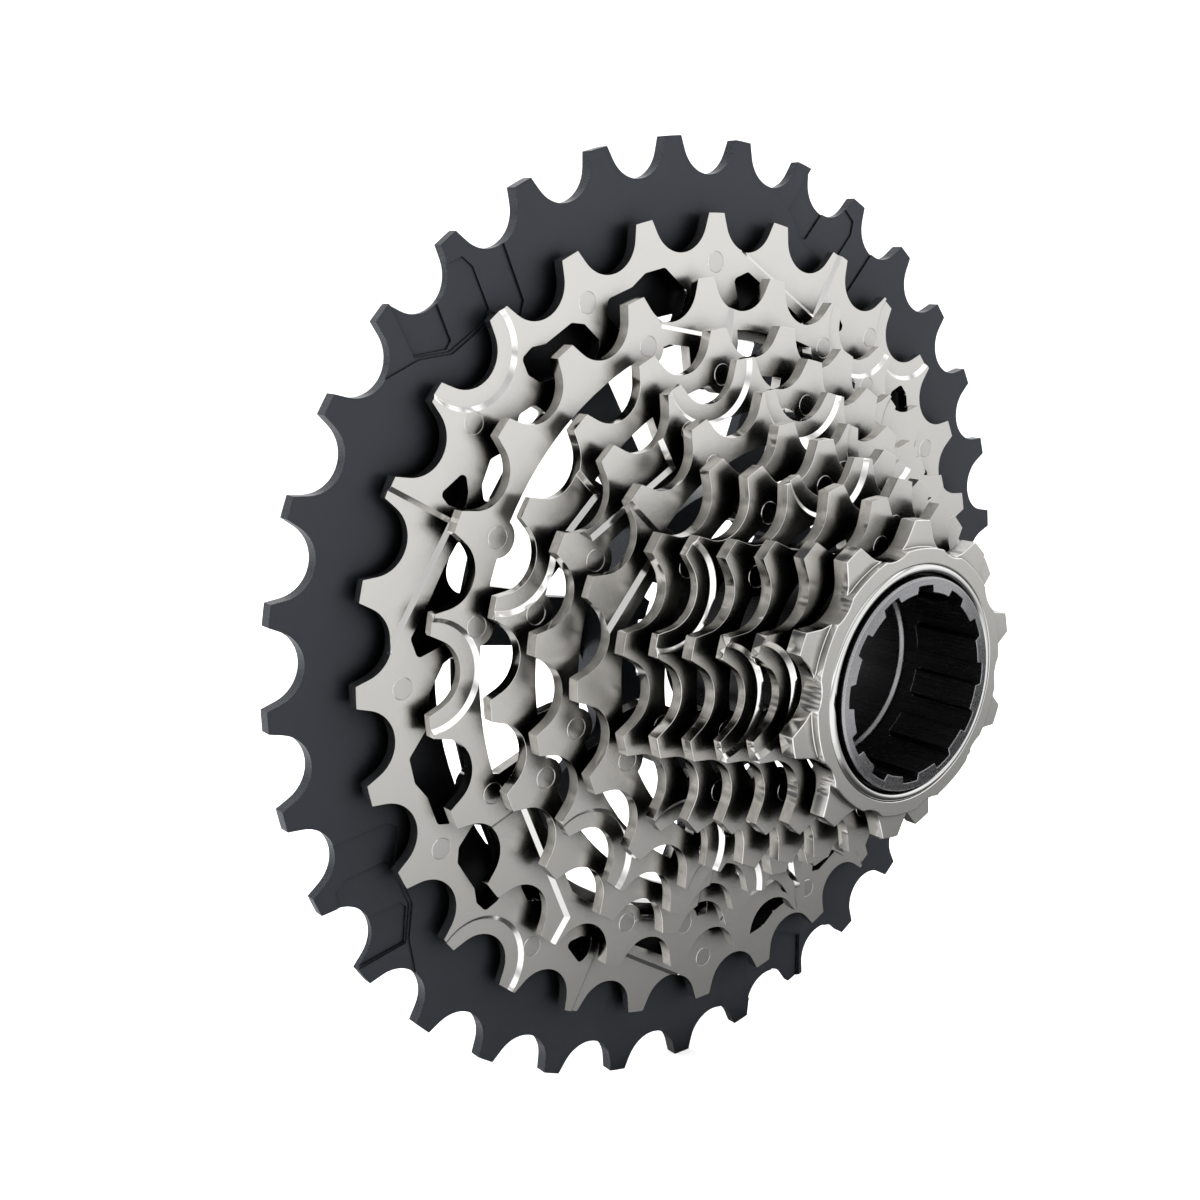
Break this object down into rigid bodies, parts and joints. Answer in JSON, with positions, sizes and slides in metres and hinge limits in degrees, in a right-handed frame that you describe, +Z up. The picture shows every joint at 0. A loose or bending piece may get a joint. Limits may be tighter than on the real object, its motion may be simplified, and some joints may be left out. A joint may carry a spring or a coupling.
{
  "type": "bicycle cassette sprocket",
  "caption": "Stepped cluster of toothed chain sprockets riveted into an open cone, black largest sprocket with splined hub, and a free-turning lock tube at its centre.",
  "frame": {"origin": "on the axle line, in the rear plane of the largest sprocket and its splined hub", "axes": "Y is the axle, -Y towards the smallest sprocket, +Z up"},
  "size_m": [0.1355, 0.0432, 0.1355],
  "materials": {
    "nickel_steel": "satin nickel-plated stamped steel",
    "black_alloy": "satin black anodised",
    "pin_steel": "satin stainless",
    "polished_steel": "polished",
    "tube_alloy": "black anodised",
    "black_polymer": "matt black",
    "spring_steel": "dark spring steel"
  },
  "bodies": {
    "cluster": {"sprocket_33t": "black_alloy", "sprocket_28t": "nickel_steel", "sprocket_24t": "nickel_steel", "sprocket_21t": "nickel_steel", "sprocket_19t": "nickel_steel", "sprocket_17t": "nickel_steel", "sprocket_15t": "nickel_steel", "sprocket_14t": "nickel_steel", "sprocket_13t": "nickel_steel", "sprocket_12t": "nickel_steel", "sprocket_11t": "nickel_steel", "sprocket_10t": "nickel_steel", "pins_33_28": "pin_steel", "pins_28_24": "pin_steel", "pins_24_21": "pin_steel", "pins_21_19": "pin_steel", "pins_19_17": "pin_steel", "pins_17_15": "pin_steel", "pins_15_14": "pin_steel", "pins_14_13": "pin_steel", "pins_13_12": "pin_steel", "pins_12_11": "pin_steel", "pins_11_10": "pin_steel", "front_ring": "polished_steel", "lip_washer": "black_polymer"},
    "lock_tube": {"lock_tube": "tube_alloy", "tube_clip": "spring_steel"}
  },
  "joints": [
    {"name": "lock_tube_spin", "type": "hinge", "parent": "cluster", "child": "lock_tube", "pos_m": [0, 0, 0], "axis": [0, -1, 0], "continuous": true}
  ]
}
